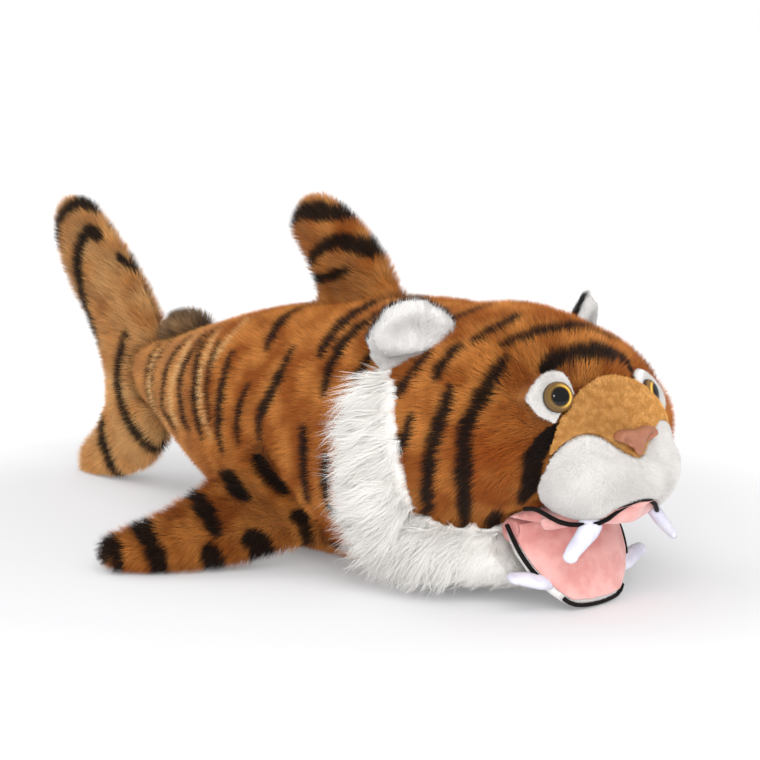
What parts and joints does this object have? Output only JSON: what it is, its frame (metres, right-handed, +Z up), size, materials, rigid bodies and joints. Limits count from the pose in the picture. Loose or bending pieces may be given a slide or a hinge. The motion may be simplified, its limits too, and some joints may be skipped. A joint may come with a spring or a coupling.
{
  "type": "plush tiger",
  "caption": "Stuffed plush toy lying on its belly: tiger head with an open fanged mouth and ruff, tapering striped body with side fins, back fin and upright two-lobed tail.",
  "frame": {"origin": "on the ground, under the middle of the toy's length and width", "axes": "+Z up, the nose points along -Y and the tail along +Y, +X is the toy's own left side"},
  "size_m": [0.3778, 0.6468, 0.2399],
  "materials": {
    "striped_plush": "long-pile plush, orange brown with near-black stripes",
    "dark_plush": "long-pile plush, near black",
    "white_plush": "plush, white",
    "tan_plush": "short plush, tan",
    "pink_cloth": "short brushed cloth, pink",
    "black_trim": "round cloth piping, black",
    "fang_satin": "satin cloth, white",
    "polyester_fibre": "loose polyester fibre fill",
    "nose_vinyl": "moulded soft vinyl, satin",
    "eye_plastic": "polished, amber iris with a black pupil",
    "washer_plastic": "natural nylon"
  },
  "bodies": {
    "torso": {"torso_skin": "striped_plush", "torso_stuffing": "polyester_fibre", "head_skin": "striped_plush", "head_stuffing": "polyester_fibre", "right_eye": "eye_plastic", "left_eye": "eye_plastic", "right_eye_washer": "washer_plastic", "left_eye_washer": "washer_plastic", "right_eye_patch": "white_plush", "left_eye_patch": "white_plush", "muzzle_pad": "white_plush", "nose_bridge": "tan_plush", "nose": "nose_vinyl", "nose_washer": "washer_plastic", "right_ear_back": "dark_plush", "left_ear_back": "dark_plush", "right_ear_lining": "white_plush", "left_ear_lining": "white_plush", "right_upper_fang": "fang_satin", "left_upper_fang": "fang_satin", "palate_lining": "pink_cloth", "upper_lip": "black_trim", "throat_ruff": "white_plush", "right_ruff_crest": "white_plush", "left_ruff_crest": "white_plush"},
    "jaw": {"lower_jaw": "white_plush", "jaw_lining": "pink_cloth", "lower_lip": "black_trim", "right_lower_lip": "black_trim", "left_lower_lip": "black_trim", "right_lower_fang": "fang_satin", "left_lower_fang": "fang_satin"},
    "right_fin": {"right_breast_fin_skin": "striped_plush", "right_breast_fin_stuffing": "polyester_fibre"},
    "left_fin": {"left_breast_fin_skin": "striped_plush", "left_breast_fin_stuffing": "polyester_fibre"},
    "back_fin": {"back_fin_skin": "striped_plush", "back_fin_stuffing": "polyester_fibre"},
    "tail": {"tail_skin": "striped_plush", "tail_stuffing": "polyester_fibre", "tail_fin_skin": "striped_plush", "tail_fin_stuffing": "polyester_fibre", "rump_fin": "dark_plush"}
  },
  "joints": [
    {"name": "jaw_fold", "type": "hinge", "parent": "torso", "child": "jaw", "pos_m": [0, -0.2496, 0.052], "axis": [-1, 0, 0], "range_deg": [-5, 20], "stiffness_Nm_per_rad": 0.2},
    {"name": "right_fin_swing", "type": "hinge", "parent": "torso", "child": "right_fin", "pos_m": [-0.075, -0.0586, 0.049], "axis": [-0.2556, 0.69, 0.6772], "range_deg": [-10, 25], "stiffness_Nm_per_rad": 0.3},
    {"name": "left_fin_swing", "type": "hinge", "parent": "torso", "child": "left_fin", "pos_m": [0.075, -0.0586, 0.049], "axis": [-0.2556, -0.69, -0.6772], "range_deg": [-10, 25], "stiffness_Nm_per_rad": 0.3},
    {"name": "back_fin_sway", "type": "hinge", "parent": "torso", "child": "back_fin", "pos_m": [0, -0.0526, 0.17274], "axis": [0, 0.9846, -0.1748], "range_deg": [-15, 15], "stiffness_Nm_per_rad": 0.3},
    {"name": "tail_wag", "type": "hinge", "parent": "torso", "child": "tail", "pos_m": [0, 0.1344, 0.1], "axis": [0, 0, 1], "range_deg": [-20, 20], "stiffness_Nm_per_rad": 1}
  ]
}
